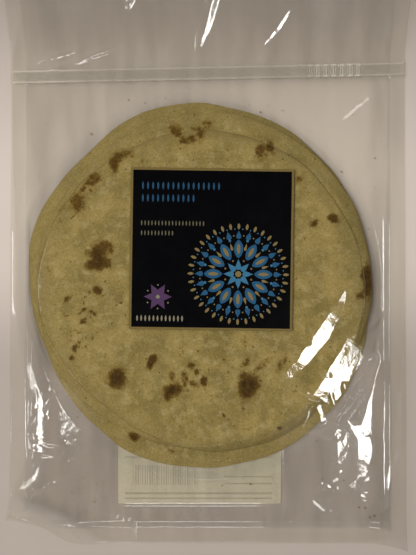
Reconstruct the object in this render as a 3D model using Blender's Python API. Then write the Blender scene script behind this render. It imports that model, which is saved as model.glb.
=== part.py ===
"""A clear sealed bag of five chapatis, lying flat with its front label up.

Metres, +Z up, the mouth of the bag towards +Y. The origin is under the middle of the bag's box.
The bag is one solid. Its underside is a flat sheet whose edges bend up off the table, and its
upper side is raised by the stacked bread, the air round it, the zip and the folds of the film.
"""

import math

import bmesh
import bpy
from mathutils import Vector

# The bag, laid flat, with its welded margins.
BAG_WIDTH = 0.250
BAG_BOTTOM = -0.1737
BAG_TOP = 0.1767
SEAL_WIDTH = 0.0095
FILM_EDGE = 0.0008

# The mesh of the bag: its grid, what counts as lying on the table, and the angle of a sharp edge.
GRID_STEP = 0.0062
SLOPE_STEP = 0.0004
RESTING = 1e-6
FLAT_ANGLE = 0.001
SHARP_ANGLE = math.radians(35.0)

# The zip across the mouth is higher at its right end, and the lip past it lifts and ripples.
ZIP_Y = 0.1241
ZIP_HEIGHT = 0.0085
ZIP_RISE_TO_RIGHT = 0.0027
ZIP_THICKNESS = 0.0016
ZIP_BLEND = 0.040
LIP_TIP_ANGLE = 0.57
RIPPLE_HEIGHT = 0.0022
RIPPLE_LENGTH = 0.062

# The stacked bread, from the bottom up: middle x, middle y, radius, and bulges of the edge as
# angle in degrees, width in degrees and height.
BREAD_THICKNESS = 0.0023
BREADS = (
    (-0.0015, -0.0215, 0.1028, ((95, 30, -0.001),)),
    (-0.0040, -0.0070, 0.1030, ((320, 25, 0.001),)),
    (-0.0060, -0.0030, 0.1050, ((139, 17, -0.004), (166, 10, 0.001))),
    (-0.0020, -0.0080, 0.1035, ((139, 20, -0.003),)),
    (-0.0030, -0.0140, 0.0980, ((231, 26, -0.007), (305, 24, 0.005), (172, 22, 0.003))),
)
STACK_HEIGHT = BREAD_THICKNESS * len(BREADS)
DRAPE_WIDTH = 0.0085

# The air round the bread, under the film.
AIR_HEIGHT = 0.0050
AIR_SLOPE = 0.016
SEAL_SLOPE = 0.0060

# Folds of the upper film: both ends as x and y, then width and height.
FOLDS = (
    (0.086, -0.016, 0.050, -0.064, 0.0085, 0.0022),
    (0.092, -0.041, 0.064, -0.084, 0.0100, 0.0028),
    (0.097, -0.062, 0.081, -0.097, 0.0060, 0.0022),
    (0.086, -0.098, 0.088, -0.138, 0.0080, 0.0030),
    (-0.096, -0.072, -0.111, -0.098, 0.0060, 0.0022),
    (-0.117, -0.112, -0.090, -0.119, 0.0060, 0.0018),
    (0.113, 0.118, 0.079, 0.091, 0.0060, 0.0014),
)

# How the side margins bend up off the table: where the bend starts, and the slope at the edge, in
# radians. Each is given near the mouth, beside the bread, below it and at the bottom corner.
LEFT_BEND_START = (0.112, 0.110, 0.092, 0.098)
LEFT_TIP_ANGLE = (0.15, 0.50, 0.92, 0.30)
RIGHT_BEND_START = (0.112, 0.110, 0.100, 0.098)
RIGHT_TIP_ANGLE = (0.10, 0.40, 0.50, 0.75)
SIDE_BLENDS = ((0.085, 0.020), (-0.015, -0.085), (-0.110, -0.145))

# The bottom left corner rolls up about a slanting line, and the roll dies out to the right.
ROLL_START_Y = -0.138
ROLL_SLOPE = 0.28
ROLL_RADIUS = 0.012
ROLL_FULL_X = -0.108
ROLL_END_X = -0.048

# The bottom margin lifts a little all along.
BOTTOM_BEND_START = -0.150
BOTTOM_TIP_ANGLE = 0.22

# The labels. The back one lies in a shallow pocket of the film, flush with the underside.
LABEL_SIDE = 0.100
LABEL_HEIGHT = 0.099
LABEL_THICKNESS = 0.0003
LABEL_CORNER = 0.0012
LABEL_X = 0.0022
LABEL_Y = 0.0117
LABEL_TURN = math.radians(-0.8)
BACK_LABEL_SIZE = (0.1036, 0.0960)
BACK_LABEL_MIDDLE = (-0.0054, -0.1015)
GAP = 0.0003


def smooth(low, high, value):
    """0 below low, 1 above high, and an even curve between them. low may be the larger."""
    share = min(1.0, max(0.0, (value - low) / (high - low)))
    return share * share * (3.0 - 2.0 * share)


def past_edge(bread, x, y):
    """How far a point lies outside the edge of one bread; below zero inside it."""
    middle_x, middle_y, radius, bulges = bread
    dx = x - middle_x
    dy = y - middle_y
    angle = math.degrees(math.atan2(dy, dx))
    for bulge_angle, width, height in bulges:
        turn = (angle - bulge_angle + 180.0) % 360.0 - 180.0
        radius += height * math.exp(-((turn / width) ** 2))
    return math.hypot(dx, dy) - radius


def stack_height(x, y):
    """The film's height over the stack: one bread thickness for each bread under it."""
    height = 0.0
    for bread in BREADS:
        height += BREAD_THICKNESS * (1.0 - smooth(0.0, DRAPE_WIDTH, past_edge(bread, x, y)))
    return height


def zip_middle(x):
    return ZIP_Y + ZIP_RISE_TO_RIGHT * x / (BAG_WIDTH / 2.0)


def inside_seals(x, y):
    """How far a point lies inside the welded margins and under the zip."""
    from_side = BAG_WIDTH / 2.0 - SEAL_WIDTH - abs(x)
    from_bottom = y - BAG_BOTTOM - SEAL_WIDTH
    from_zip = zip_middle(x) - ZIP_HEIGHT / 2.0 - y
    return min(from_side, from_bottom, from_zip)


def fold_height(x, y):
    """The folds of the film, each a rounded ridge that tapers to both ends."""
    height = 0.0
    for start_x, start_y, end_x, end_y, width, top in FOLDS:
        start = Vector((start_x, start_y))
        along = Vector((end_x, end_y)) - start
        offset = Vector((x, y)) - start
        share = offset.dot(along) / along.length_squared
        across = abs(offset.x * along.y - offset.y * along.x) / along.length
        if 0.0 < share < 1.0 and across < width:
            ridge = math.cos(across / width * math.pi / 2.0) ** 2
            height += top * ridge * math.sin(share * math.pi)
    return height


def thickness(x, y):
    """From the underside of the bag to its upper side."""
    zip_share = 1.0 - smooth(0.35, 0.75, abs(y - zip_middle(x)) / ZIP_HEIGHT)
    zip_raise = (ZIP_THICKNESS - FILM_EDGE) * zip_share
    depth = inside_seals(x, y)
    if depth <= 0.0:
        return FILM_EDGE + zip_raise
    bread = stack_height(x, y)
    air = AIR_HEIGHT * (1.0 - math.exp(-depth / AIR_SLOPE)) * (1.0 - bread / STACK_HEIGHT)
    opened = smooth(0.0, SEAL_SLOPE, depth)
    return FILM_EDGE + zip_raise + opened * (bread + air) + fold_height(x, y)


def bend(distance, curvature):
    """A flat distance laid along an arc: how far it reaches, and how high it lifts."""
    if distance <= 0.0 or curvature <= 1e-6:
        return distance, 0.0
    turned = distance * curvature
    return math.sin(turned) / curvature, (1.0 - math.cos(turned)) / curvature


def along_side(values, y):
    """Blend from each value to the next, from the mouth down to the bottom corner."""
    value = values[0]
    for before, after, (blend_top, blend_end) in zip(values, values[1:], SIDE_BLENDS):
        value += (after - before) * smooth(blend_top, blend_end, y)
    return value


def lifted_sides(x, y):
    """The side margin's place across the bag, and its lift."""
    starts = LEFT_BEND_START if x < 0.0 else RIGHT_BEND_START
    angles = LEFT_TIP_ANGLE if x < 0.0 else RIGHT_TIP_ANGLE
    start = along_side(starts, y)
    curvature = along_side(angles, y) / (BAG_WIDTH / 2.0 - start)
    if abs(x) <= start:
        return x, 0.0
    reach, lift = bend(abs(x) - start, curvature)
    return math.copysign(start + reach, x), lift


def lifted_lip(x, y):
    """The lip's place along the bag, and its lift with the ripples."""
    start = zip_middle(x) + ZIP_HEIGHT / 2.0
    if y <= start:
        return y, 0.0
    length = BAG_TOP - start
    reach, lift = bend(y - start, LIP_TIP_ANGLE / length)
    ripple = 0.5 - 0.5 * math.cos(2.0 * math.pi * (x + 0.034) / RIPPLE_LENGTH)
    return start + reach, lift + RIPPLE_HEIGHT * ripple * (y - start) / length


def lifted_bottom(x, y):
    """The bottom margin's shift across, its place along the bag, and its lift."""
    strength = smooth(ROLL_END_X, ROLL_FULL_X, x)
    normal = Vector((ROLL_SLOPE, 1.0)).normalized()
    past_roll = (ROLL_START_Y - ROLL_SLOPE * (x + BAG_WIDTH / 2.0) - y) * normal.y
    if strength > 0.0 and past_roll > 0.0:
        reach, lift = bend(past_roll, strength / ROLL_RADIUS)
        pulled_in = past_roll - reach
        return x + normal.x * pulled_in, y + normal.y * pulled_in, lift
    past_bend = BOTTOM_BEND_START - y
    if past_bend <= 0.0:
        return x, y, 0.0
    length = BOTTOM_BEND_START - BAG_BOTTOM
    reach, lift = bend(past_bend, (1.0 - strength) * BOTTOM_TIP_ANGLE / length)
    return x, BOTTOM_BEND_START - reach, lift


def underside(x, y):
    """Where a point of the flat sheet lies on the bag's underside."""
    side_x, side_lift = lifted_sides(x, y)
    lip_y, lip_lift = lifted_lip(x, y)
    shifted_x, bottom_y, bottom_lift = lifted_bottom(side_x, y)
    place_y = lip_y if y > 0.0 else bottom_y
    return Vector((shifted_x, place_y, side_lift + lip_lift + bottom_lift))


def upper_side(x, y):
    """The underside's point moved square to the sheet by the bag's thickness there."""
    across = underside(x + SLOPE_STEP, y) - underside(x - SLOPE_STEP, y)
    along = underside(x, y + SLOPE_STEP) - underside(x, y - SLOPE_STEP)
    return underside(x, y) + across.cross(along).normalized() * thickness(x, y)


def spaced(start, end, step):
    """Evenly spaced places from start to end, about one step apart."""
    count = max(1, round((end - start) / step))
    return [start + (end - start) * index / count for index in range(count)]


def row_places():
    """Rows of the sheet, closer together at the bottom margin and across the zip."""
    margin_top = BAG_BOTTOM + SEAL_WIDTH
    zip_bottom = ZIP_Y - ZIP_HEIGHT / 2.0
    zip_top = ZIP_Y + ZIP_HEIGHT / 2.0
    rows = spaced(BAG_BOTTOM, margin_top, SEAL_WIDTH / 2.0)
    rows += spaced(margin_top, zip_bottom, GRID_STEP)
    rows += spaced(zip_bottom, zip_top, ZIP_HEIGHT / 4.0)
    rows += spaced(zip_top, BAG_TOP, GRID_STEP)
    return rows + [BAG_TOP]


def column_places():
    """Columns of the sheet, closer together where the film comes down to the side margins."""
    margin = BAG_WIDTH / 2.0 - SEAL_WIDTH
    slope = margin - SEAL_SLOPE
    half = spaced(-BAG_WIDTH / 2.0, -margin, SEAL_WIDTH / 2.0)
    half += spaced(-margin, -slope, SEAL_SLOPE / 2.0)
    return half + spaced(-slope, slope, GRID_STEP) + [slope] + [-place for place in reversed(half)]


def plain_material(name, color, roughness):
    material = bpy.data.materials.new(name)
    material.use_nodes = True
    shader = material.node_tree.nodes["Principled BSDF"]
    shader.inputs["Base Color"].default_value = (*color, 1.0)
    shader.inputs["Roughness"].default_value = roughness
    shader.inputs["Metallic"].default_value = 0.0
    return material


def add_object(name, shape, material):
    mesh = bpy.data.meshes.new(name)
    shape.to_mesh(mesh)
    shape.free()
    mesh.materials.append(material)
    thing = bpy.data.objects.new(name, mesh)
    bpy.context.scene.collection.objects.link(thing)
    return thing


def make_bag():
    """A grid for the underside, extruded to a closed slab whose two faces are then shaped."""
    columns = column_places()
    rows = row_places()
    shape = bmesh.new()
    bmesh.ops.create_grid(shape, x_segments=len(columns) - 1, y_segments=len(rows) - 1, size=0.5)
    raised = bmesh.ops.extrude_face_region(shape, geom=list(shape.faces), use_keep_orig=True)
    upper = {item for item in raised["geom"] if isinstance(item, bmesh.types.BMVert)}
    for vert in shape.verts:
        x = columns[round((vert.co.x + 0.5) * (len(columns) - 1))]
        y = rows[round((vert.co.y + 0.5) * (len(rows) - 1))]
        y += (zip_middle(x) - ZIP_Y) * (1.0 - smooth(0.0, ZIP_BLEND, abs(y - ZIP_Y)))
        vert.co = upper_side(x, y) if vert in upper else underside(x, y)
    bmesh.ops.recalc_face_normals(shape, faces=shape.faces)
    resting = {face for face in shape.faces if all(vert.co.z < RESTING for vert in face.verts)}
    inner = [edge for edge in shape.edges if all(face in resting for face in edge.link_faces)]
    bmesh.ops.dissolve_limit(shape, angle_limit=FLAT_ANGLE, verts=[], edges=inner)
    bag = add_object("bag", shape, plain_material("clear_film_over_bread", (0.36, 0.31, 0.19), 0.25))
    bag.data.shade_smooth()
    bag.data.set_sharp_from_angle(angle=SHARP_ANGLE)
    return bag


def label_plate(width, height):
    """A thin plate with slightly rounded corners, standing on z = 0."""
    shape = bmesh.new()
    bmesh.ops.create_cube(shape, size=1.0)
    bmesh.ops.scale(shape, vec=(width, height, LABEL_THICKNESS), verts=shape.verts)
    bmesh.ops.translate(shape, vec=(0.0, 0.0, LABEL_THICKNESS / 2.0), verts=shape.verts)
    upright = [edge for edge in shape.edges if abs(edge.verts[0].co.z - edge.verts[1].co.z) > 1e-5]
    bmesh.ops.bevel(shape, geom=upright, offset=LABEL_CORNER, segments=3, affect="EDGES")
    return shape


def make_front_label():
    material = plain_material("printed_label_film", (0.010, 0.010, 0.014), 0.35)
    label = add_object("front_label", label_plate(LABEL_SIDE, LABEL_HEIGHT), material)
    label.location = (LABEL_X, LABEL_Y, FILM_EDGE + STACK_HEIGHT + GAP)
    label.rotation_euler = (0.0, 0.0, LABEL_TURN)
    return label


def make_back_label():
    material = plain_material("white_label_paper", (0.60, 0.57, 0.50), 0.70)
    label = add_object("back_label", label_plate(*BACK_LABEL_SIZE), material)
    label.location = (*BACK_LABEL_MIDDLE, 0.0)
    return label


def cut_label_pocket(bag):
    """The pocket in the underside, with a gap round the back label and over it."""
    depth = LABEL_THICKNESS + GAP
    bpy.ops.mesh.primitive_cube_add(size=1.0)
    cutter = bpy.context.object
    cutter.name = "label_pocket_cutter"
    cutter.location = (*BACK_LABEL_MIDDLE, 0.0)
    cutter.scale = (BACK_LABEL_SIZE[0] + 2.0 * GAP, BACK_LABEL_SIZE[1] + 2.0 * GAP, 2.0 * depth)
    cutter.hide_render = True
    cutter.display_type = "WIRE"
    pocket = bag.modifiers.new("label_pocket", "BOOLEAN")
    pocket.operation = "DIFFERENCE"
    pocket.object = cutter


for leftover in list(bpy.data.objects):
    bpy.data.objects.remove(leftover)
bag = make_bag()
make_front_label()
make_back_label()
cut_label_pocket(bag)
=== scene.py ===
"""A clear sealed bag of five chapatis, lying flat with its front label up.

Metres, +Z up, the mouth of the bag towards +Y. The sections follow the bag as it is packed: the
studio, the stacked bread, the film round it, the closure across the mouth, the labels, the crumbs.
"""

import math
import random

import bpy
import numpy as np
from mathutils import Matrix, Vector, noise


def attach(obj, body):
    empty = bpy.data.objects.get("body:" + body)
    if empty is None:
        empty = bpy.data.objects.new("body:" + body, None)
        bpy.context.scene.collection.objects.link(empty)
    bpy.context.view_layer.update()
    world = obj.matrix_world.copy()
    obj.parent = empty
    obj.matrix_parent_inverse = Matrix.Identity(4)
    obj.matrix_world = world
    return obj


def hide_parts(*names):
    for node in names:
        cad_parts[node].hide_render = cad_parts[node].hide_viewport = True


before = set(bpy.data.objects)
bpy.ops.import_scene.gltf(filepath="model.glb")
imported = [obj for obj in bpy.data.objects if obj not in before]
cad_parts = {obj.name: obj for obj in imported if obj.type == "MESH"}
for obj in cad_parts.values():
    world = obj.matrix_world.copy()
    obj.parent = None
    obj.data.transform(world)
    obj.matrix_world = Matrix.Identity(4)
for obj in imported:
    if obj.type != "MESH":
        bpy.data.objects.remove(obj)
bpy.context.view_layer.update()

# The studio: a pale board under the bag, a camera held level above it like a phone, soft lamps, and
# a few small ones placed where only folded film mirrors them to the camera.
CAMERA_HEIGHT = 0.330
CAMERA_Y = -0.0056
VIEW_HEIGHT = 0.3535
SENSOR_MM = 36.0
BOARD_SIDE = 6.0
BOARD_DROP = 0.0004
BOARD_TONES = ("#DACDC3", "#D4C7BD")
# The dark tone of the painted shade towards the front and the back of the board.
BOARD_PAINTED_SHADE_TONE = "#91867D"
BOARD_FLECK_MM = 60.0
# Finer on a real board, and drawn this coarse so that it shows.
BOARD_TOOTH_MM = 2.0 / 3.0
# Painted shade round a painted pool of light on the board: where the pale pool starts to fade, where it ends
# and how far, to the mouth and away.
BOARD_PAINTED_SHADE_FADES = ((0.050, 0.240, 1.0), (-0.012, 0.066, 0.54))
# Lamps: name, place, width, length, watts, and whether glossy surfaces mirror them.
LAMPS = (
    ("right_ceiling_lamp", (0.907, -0.627, 1.96), 0.25, 0.42, 4.2, True),
    ("left_ceiling_lamp", (-0.892, -0.576, 1.98), 0.22, 0.30, 1.1, True),
    ("far_ceiling_lamp", (-1.040, 0.040, 2.00), 0.20, 0.42, 1.0, True),
    ("side_lamp", (1.320, 0.025, 2.00), 0.40, 0.50, 3.4, True),
    ("near_lamp", (-0.073, -1.620, 2.00), 0.70, 0.28, 2.6, True),
    ("soft_box", (-1.050, -0.150, 1.90), 1.00, 1.00, 27.5, False),
    ("far_fill", (-1.250, 1.150, 1.70), 1.40, 1.40, 15.0, False),
)
LAMP_TINT = "#FFFDFA"
# The light of the room itself, from level (0) to straight above (1).
ROOM_STEPS = ((0.0, 0.17), (0.50, 0.17), (0.78, 0.12), (0.90, 0.025), (1.0, 0.012))


def colour(hex_value):
    """An sRGB hex value as linear red, green, blue and full alpha."""
    shares = [int(hex_value[start:start + 2], 16) / 255.0 for start in (1, 3, 5)]
    linear = [s / 12.92 if s <= 0.04045 else ((s + 0.055) / 1.055) ** 2.4 for s in shares]
    return (*linear, 1.0)


def add_node(tree, kind, sockets=None, **settings):
    """Adds a node. Each socket is given a value, an output to link to, or a node to link to, whose
    first output is then meant."""
    made = tree.nodes.new("ShaderNode" + kind)
    for name, value in settings.items():
        setattr(made, name, value)
    for key, value in (sockets or {}).items():
        if isinstance(value, bpy.types.Node):
            value = next(output for output in value.outputs if output.enabled)
        if isinstance(value, bpy.types.NodeSocket):
            tree.links.new(value, made.inputs[key])
        else:
            made.inputs[key].default_value = value
    return made


def new_material(name):
    """An empty node material, its tree, and the place on the piece that its patterns follow."""
    material = bpy.data.materials.new(name)
    material.use_nodes = True
    tree = material.node_tree
    tree.nodes.clear()
    return material, tree, add_node(tree, "TexCoord").outputs["Object"]


def finished(material, surface):
    """Gives a material its surface."""
    add_node(material.node_tree, "OutputMaterial", {"Surface": surface})
    return material


def take_active(name):
    """Names the newest object and its mesh."""
    piece = bpy.context.object
    piece.name = name
    piece.data.name = name
    return piece


def settle(piece, material):
    """Gives a finished piece its material and its slot, and fixes it to the bag."""
    piece.data.materials.clear()
    piece.data.materials.append(material)
    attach(piece, "root")


def painted_board():
    """Matt painted board: pale across the middle, where a pool of light is painted, and darker towards the
    front and the back with painted shade, with a broad faint change of tone and a fine tooth."""
    material, tree, place = new_material("matt_painted_board")
    broad = add_node(tree, "TexNoise", {"Vector": place, "Scale": 1000.0 / BOARD_FLECK_MM, "Detail": 2.0})
    tone = add_node(tree, "Mix",
                    {"Factor": broad, "A": colour(BOARD_TONES[0]), "B": colour(BOARD_TONES[1])},
                    data_type="RGBA")
    apart = add_node(tree, "SeparateXYZ", {"Vector": place})
    # Painted shade: the tone is mixed towards a dark tone towards the mouth and towards the front, for light
    # falling off round the pool.
    front = add_node(tree, "Math", {0: apart.outputs["Y"], 1: -1.0}, operation="MULTIPLY")
    shares = []
    for distance, (near, far, most) in zip((apart.outputs["Y"], front), BOARD_PAINTED_SHADE_FADES):
        share = add_node(tree, "MapRange",
                         {"Value": distance, "From Min": near, "From Max": far, "To Max": most},
                         interpolation_type="SMOOTHSTEP")
        shares.append(share)
    painted_shade_share = add_node(tree, "Math", {0: shares[0], 1: shares[1]}, operation="ADD")
    painted_shade_tone = add_node(tree, "Mix",
                     {"Factor": painted_shade_share, "A": tone, "B": colour(BOARD_PAINTED_SHADE_TONE)}, data_type="RGBA")
    tooth = add_node(tree, "TexNoise", {"Vector": place, "Scale": 1000.0 / BOARD_TOOTH_MM, "Detail": 2.0})
    bump = add_node(tree, "Bump", {"Height": tooth, "Strength": 0.08, "Distance": 0.0001})
    shader = add_node(tree, "BsdfPrincipled",
                      {"Base Color": painted_shade_tone, "Roughness": 0.8, "Specular IOR Level": 0.25, "Normal": bump})
    return finished(material, shader)


bpy.ops.object.select_all(action="DESELECT")
bpy.ops.mesh.primitive_plane_add(size=BOARD_SIDE, location=(0.0, 0.0, -BOARD_DROP))
bpy.ops.object.transform_apply(location=True)
board = take_active("board")
board.data.materials.append(painted_board())

camera_data = bpy.data.cameras.new("camera")
camera_data.sensor_width = SENSOR_MM
camera_data.lens = SENSOR_MM * CAMERA_HEIGHT / VIEW_HEIGHT
camera = bpy.data.objects.new("camera", camera_data)
camera.location = (0.0, CAMERA_Y, CAMERA_HEIGHT)
bpy.context.scene.collection.objects.link(camera)
bpy.context.scene.camera = camera

for lamp_name, lamp_place, lamp_width, lamp_length, lamp_watts, lamp_mirrored in LAMPS:
    lamp_data = bpy.data.lights.new(lamp_name, "AREA")
    lamp_data.shape = "RECTANGLE"
    lamp_data.size = lamp_width
    lamp_data.size_y = lamp_length
    lamp_data.energy = lamp_watts
    lamp_data.color = colour(LAMP_TINT)[:3]
    lamp = bpy.data.objects.new(lamp_name, lamp_data)
    lamp.location = lamp_place
    lamp_way = Vector(lamp_place).normalized()
    lamp.rotation_euler = (-math.asin(lamp_way.y), math.atan2(lamp_way.x, lamp_way.z), 0.0)
    lamp.visible_glossy = lamp_mirrored
    bpy.context.scene.collection.objects.link(lamp)

world = bpy.data.worlds.new("room")
world.use_nodes = True
bpy.context.scene.world = world
world.node_tree.nodes.clear()
world_way = add_node(world.node_tree, "TexCoord").outputs["Generated"]
world_up = add_node(world.node_tree, "SeparateXYZ", {"Vector": world_way})
room_ramp = add_node(world.node_tree, "ValToRGB", {"Fac": world_up.outputs["Z"]})
while len(room_ramp.color_ramp.elements) < len(ROOM_STEPS):
    room_ramp.color_ramp.elements.new(0.5)
for step, (step_place, step_light) in zip(room_ramp.color_ramp.elements, ROOM_STEPS):
    step.position = step_place
    step.color = (step_light, step_light, step_light, 1.0)
room_light = add_node(world.node_tree, "Background", {"Color": room_ramp})
add_node(world.node_tree, "OutputWorld", {"Surface": room_light})
bpy.context.scene.view_settings.view_transform = "Standard"

# The film's sizes, which the bread needs too: it is packed inside. A clear bag 250 mm wide with
# welded margins, laid flat, its side margins, lip and bottom left corner curling up off the table.
BAG_WIDTH = 0.250
BAG_BOTTOM = -0.1737
BAG_TOP = 0.1767
SEAL_WIDTH = 0.0095
FILM_THICKNESS = 0.0003
ZIP_Y = 0.1241
ZIP_HEIGHT = 0.0085
ZIP_RISE_TO_RIGHT = 0.0027
ZIP_THICKNESS = 0.0013
ZIP_BLEND = 0.040
# The lip: shares of its length, its slope in radians at each, and the steps that it is laid in.
LIP_BEND = ((0.0, 0.37, 0.62, 0.84, 1.0), (0.0, 0.29, 0.33, 0.34, 0.72))
LIP_STEPS = 201
RIPPLE_HEIGHT = 0.0022
RIPPLE_LENGTH = 0.062
RIPPLE_SHIFT = 0.034
AIR_HEIGHT = 0.0024
AIR_DOME = 0.0012
AIR_DOME_REACH = 0.05
SEAL_SLOPE = 0.0042
SLACK = 0.0005
DRAPE_WIDTH = 0.0060
# The side margins near the mouth, beside the bread, below it and at the bottom corner: where the
# bend starts, the slope at the edge, and where along the bag one gives way to the next.
LEFT_BEND_START = (0.112, 0.110, 0.092, 0.098)
LEFT_TIP_ANGLE = (0.15, 0.50, 0.92, 0.30)
RIGHT_BEND_START = (0.112, 0.110, 0.100, 0.098)
RIGHT_TIP_ANGLE = (0.10, 0.40, 0.50, 0.75)
SIDE_BLENDS = ((0.085, 0.020), (-0.015, -0.085), (-0.110, -0.145))
# The bottom left corner rolls up about a slanting line, and the roll dies out to the right.
ROLL_START_Y = -0.138
ROLL_SLOPE = 0.28
ROLL_RADIUS = 0.012
ROLL_FULL_X = -0.108
ROLL_END_X = -0.048
BOTTOM_BEND_START = -0.150
BOTTOM_TIP_ANGLE = 0.22
BREAD_SPACING = 0.0023
# Each bread from the bottom up: middle x, middle y, radius, and bulges of its edge as angle in
# degrees, width in degrees and height.
BREADS = (
    (-0.0020, -0.0220, 0.1045, ((95, 30, -0.001),)),
    (-0.0045, -0.0070, 0.1050, ((320, 25, 0.001),)),
    (-0.0066, -0.0022, 0.1066, ((139, 17, -0.004), (166, 10, 0.001))),
    (-0.0024, -0.0080, 0.1052, ((139, 20, -0.003),)),
    (-0.0034, -0.0140, 0.0996, ((231, 26, -0.007), (305, 24, 0.005), (172, 22, 0.003))),
)
STACK_HEIGHT = BREAD_SPACING * len(BREADS)


def smooth(low, high, value):
    """0 below low, 1 above high, and an even curve between them. low may be the larger."""
    share = np.clip((value - low) / (high - low), 0.0, 1.0)
    return share * share * (3.0 - 2.0 * share)


def edge_radius(bread, angle):
    """One bread's radius in a direction given in degrees."""
    radius = np.full_like(angle, bread[2])
    for bulge_angle, width, height in bread[3]:
        turn = (angle - bulge_angle + 180.0) % 360.0 - 180.0
        radius += height * np.exp(-((turn / width) ** 2))
    return radius


def past_edge(bread, x, y):
    """How far points lie outside the edge of one bread; below zero inside it."""
    angle = np.degrees(np.arctan2(y - bread[1], x - bread[0]))
    return np.hypot(x - bread[0], y - bread[1]) - edge_radius(bread, angle)


def stack_height(x, y):
    """The film's height over the stack: one bread's spacing for each bread under it."""
    height = np.zeros_like(x)
    for bread in BREADS:
        height += BREAD_SPACING * np.clip(1.0 - past_edge(bread, x, y) / DRAPE_WIDTH, 0.0, 1.0)
    return height


def zip_middle(x):
    return ZIP_Y + ZIP_RISE_TO_RIGHT * x / (BAG_WIDTH / 2.0)


def inside_seals(x, y):
    """How far points lie inside the welded margins and under the zip."""
    from_side = BAG_WIDTH / 2.0 - SEAL_WIDTH - np.abs(x)
    from_bottom = y - BAG_BOTTOM - SEAL_WIDTH
    from_zip = zip_middle(x) - ZIP_HEIGHT / 2.0 - y
    return np.minimum(from_side, np.minimum(from_bottom, from_zip))


def bend(distance, curvature):
    """A flat distance laid along an arc: how far it reaches, and how high it lifts."""
    curved = (distance > 0.0) & (curvature > 1e-6)
    safe = np.where(curved, curvature, 1.0)
    turned = np.where(curved, distance * curvature, 0.0)
    reach = np.where(curved, np.sin(turned) / safe, distance)
    return reach, np.where(curved, (1.0 - np.cos(turned)) / safe, 0.0)


def along_side(values, y):
    """Blend from each value to the next, from the mouth down to the bottom corner."""
    value = np.full_like(y, values[0])
    for before, after, (blend_top, blend_end) in zip(values, values[1:], SIDE_BLENDS):
        value += (after - before) * smooth(blend_top, blend_end, y)
    return value


def lifted_sides(x, y):
    """The side margin's place across the bag, and its lift."""
    left = x < 0.0
    start = np.where(left, along_side(LEFT_BEND_START, y), along_side(RIGHT_BEND_START, y))
    angle = np.where(left, along_side(LEFT_TIP_ANGLE, y), along_side(RIGHT_TIP_ANGLE, y))
    reach, lift = bend(np.abs(x) - start, angle / (BAG_WIDTH / 2.0 - start))
    return np.where(np.abs(x) <= start, x, np.copysign(start + reach, x)), lift


def lifted_lip(x, y):
    """The lip's place along the bag, and its lift with the ripples."""
    start = zip_middle(x) + ZIP_HEIGHT / 2.0
    length = BAG_TOP - start
    steps = np.linspace(0.0, 1.0, LIP_STEPS)
    angle = np.interp(steps, *LIP_BEND)
    share = (y - start) / length
    reach = np.interp(share, steps, np.cumsum(np.cos(angle)) / len(steps)) * length
    lift = np.interp(share, steps, np.cumsum(np.sin(angle)) / len(steps)) * length
    ripple = 0.5 - 0.5 * np.cos(2.0 * np.pi * (x + RIPPLE_SHIFT) / RIPPLE_LENGTH)
    lift = lift + RIPPLE_HEIGHT * ripple * (y - start) / length
    return np.where(y <= start, y, start + reach), np.where(y <= start, 0.0, lift)


def lifted_bottom(x, y):
    """The bottom margin's shift across, its place along the bag, and its lift."""
    strength = smooth(ROLL_END_X, ROLL_FULL_X, x)
    normal = Vector((ROLL_SLOPE, 1.0)).normalized()
    past_roll = (ROLL_START_Y - ROLL_SLOPE * (x + BAG_WIDTH / 2.0) - y) * normal.y
    rolled = (strength > 0.0) & (past_roll > 0.0)
    reach, roll_lift = bend(past_roll, strength / ROLL_RADIUS)
    pulled_in = np.where(rolled, past_roll - reach, 0.0)
    past_bend = BOTTOM_BEND_START - y
    length = BOTTOM_BEND_START - BAG_BOTTOM
    reach, bend_lift = bend(past_bend, (1.0 - strength) * BOTTOM_TIP_ANGLE / length)
    bent = ~rolled & (past_bend > 0.0)
    place_y = np.where(bent, BOTTOM_BEND_START - reach, y + normal.y * pulled_in)
    return x + normal.x * pulled_in, place_y, np.where(rolled, roll_lift, np.where(bent, bend_lift, 0.0))


def underside(x, y):
    """Where points of the flat sheet lie on the bag's underside, as rows of three."""
    side_x, side_lift = lifted_sides(x, y)
    lip_y, lip_lift = lifted_lip(x, y)
    shifted_x, bottom_y, bottom_lift = lifted_bottom(side_x, y)
    place_y = np.where(y > 0.0, lip_y, bottom_y)
    return np.stack([shifted_x, place_y, side_lift + lip_lift + bottom_lift], axis=-1)


def film_rise(x, y):
    """From the lower film to the upper film, without the fine creases."""
    depth = inside_seals(x, y)
    bread = stack_height(x, y) + SLACK * smooth(0.0, 0.02, depth)
    air = AIR_HEIGHT + AIR_DOME * smooth(0.0, AIR_DOME_REACH, depth)
    air *= 1.0 - stack_height(x, y) / STACK_HEIGHT
    return FILM_THICKNESS + smooth(0.0, SEAL_SLOPE, depth) * (bread + air)


# The five chapatis: rolled wheat dough baked on a griddle, soft, thin and not quite round. Each is
# laid on the last and droops over its edge. The griddle toasts the high blisters brown.
BREAD_THICKNESS = 0.00205
BREAD_START = 0.0007
# The share of the flattened ball's rings that make the disc; the rest make its rounded edge.
FLAT_RINGS = 0.93
RIM_ROUND = 0.0014
RIM_THINNING = 0.40
RIM_REACH = 0.009
RIM_TONE_REACH = 0.013
# Room kept under the film, over the whole stack and for each bread above, and the least heights of
# an upper and a lower side.
BREAD_CLEARANCE = 0.00035
CLEARANCE_STEP = 0.00045
THINNEST = 0.0003
LOWEST = (0.0006, 0.0004)
BREAD_DROOP = 0.0050
SETTLED_SHARE = 0.93
RIM_WAVES = ((5, 0.0005), (8, 0.0004), (13, 0.0003), (21, 0.00018))
TOP_MESH = (384, 196)
UNDER_MESH = (240, 72)
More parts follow.
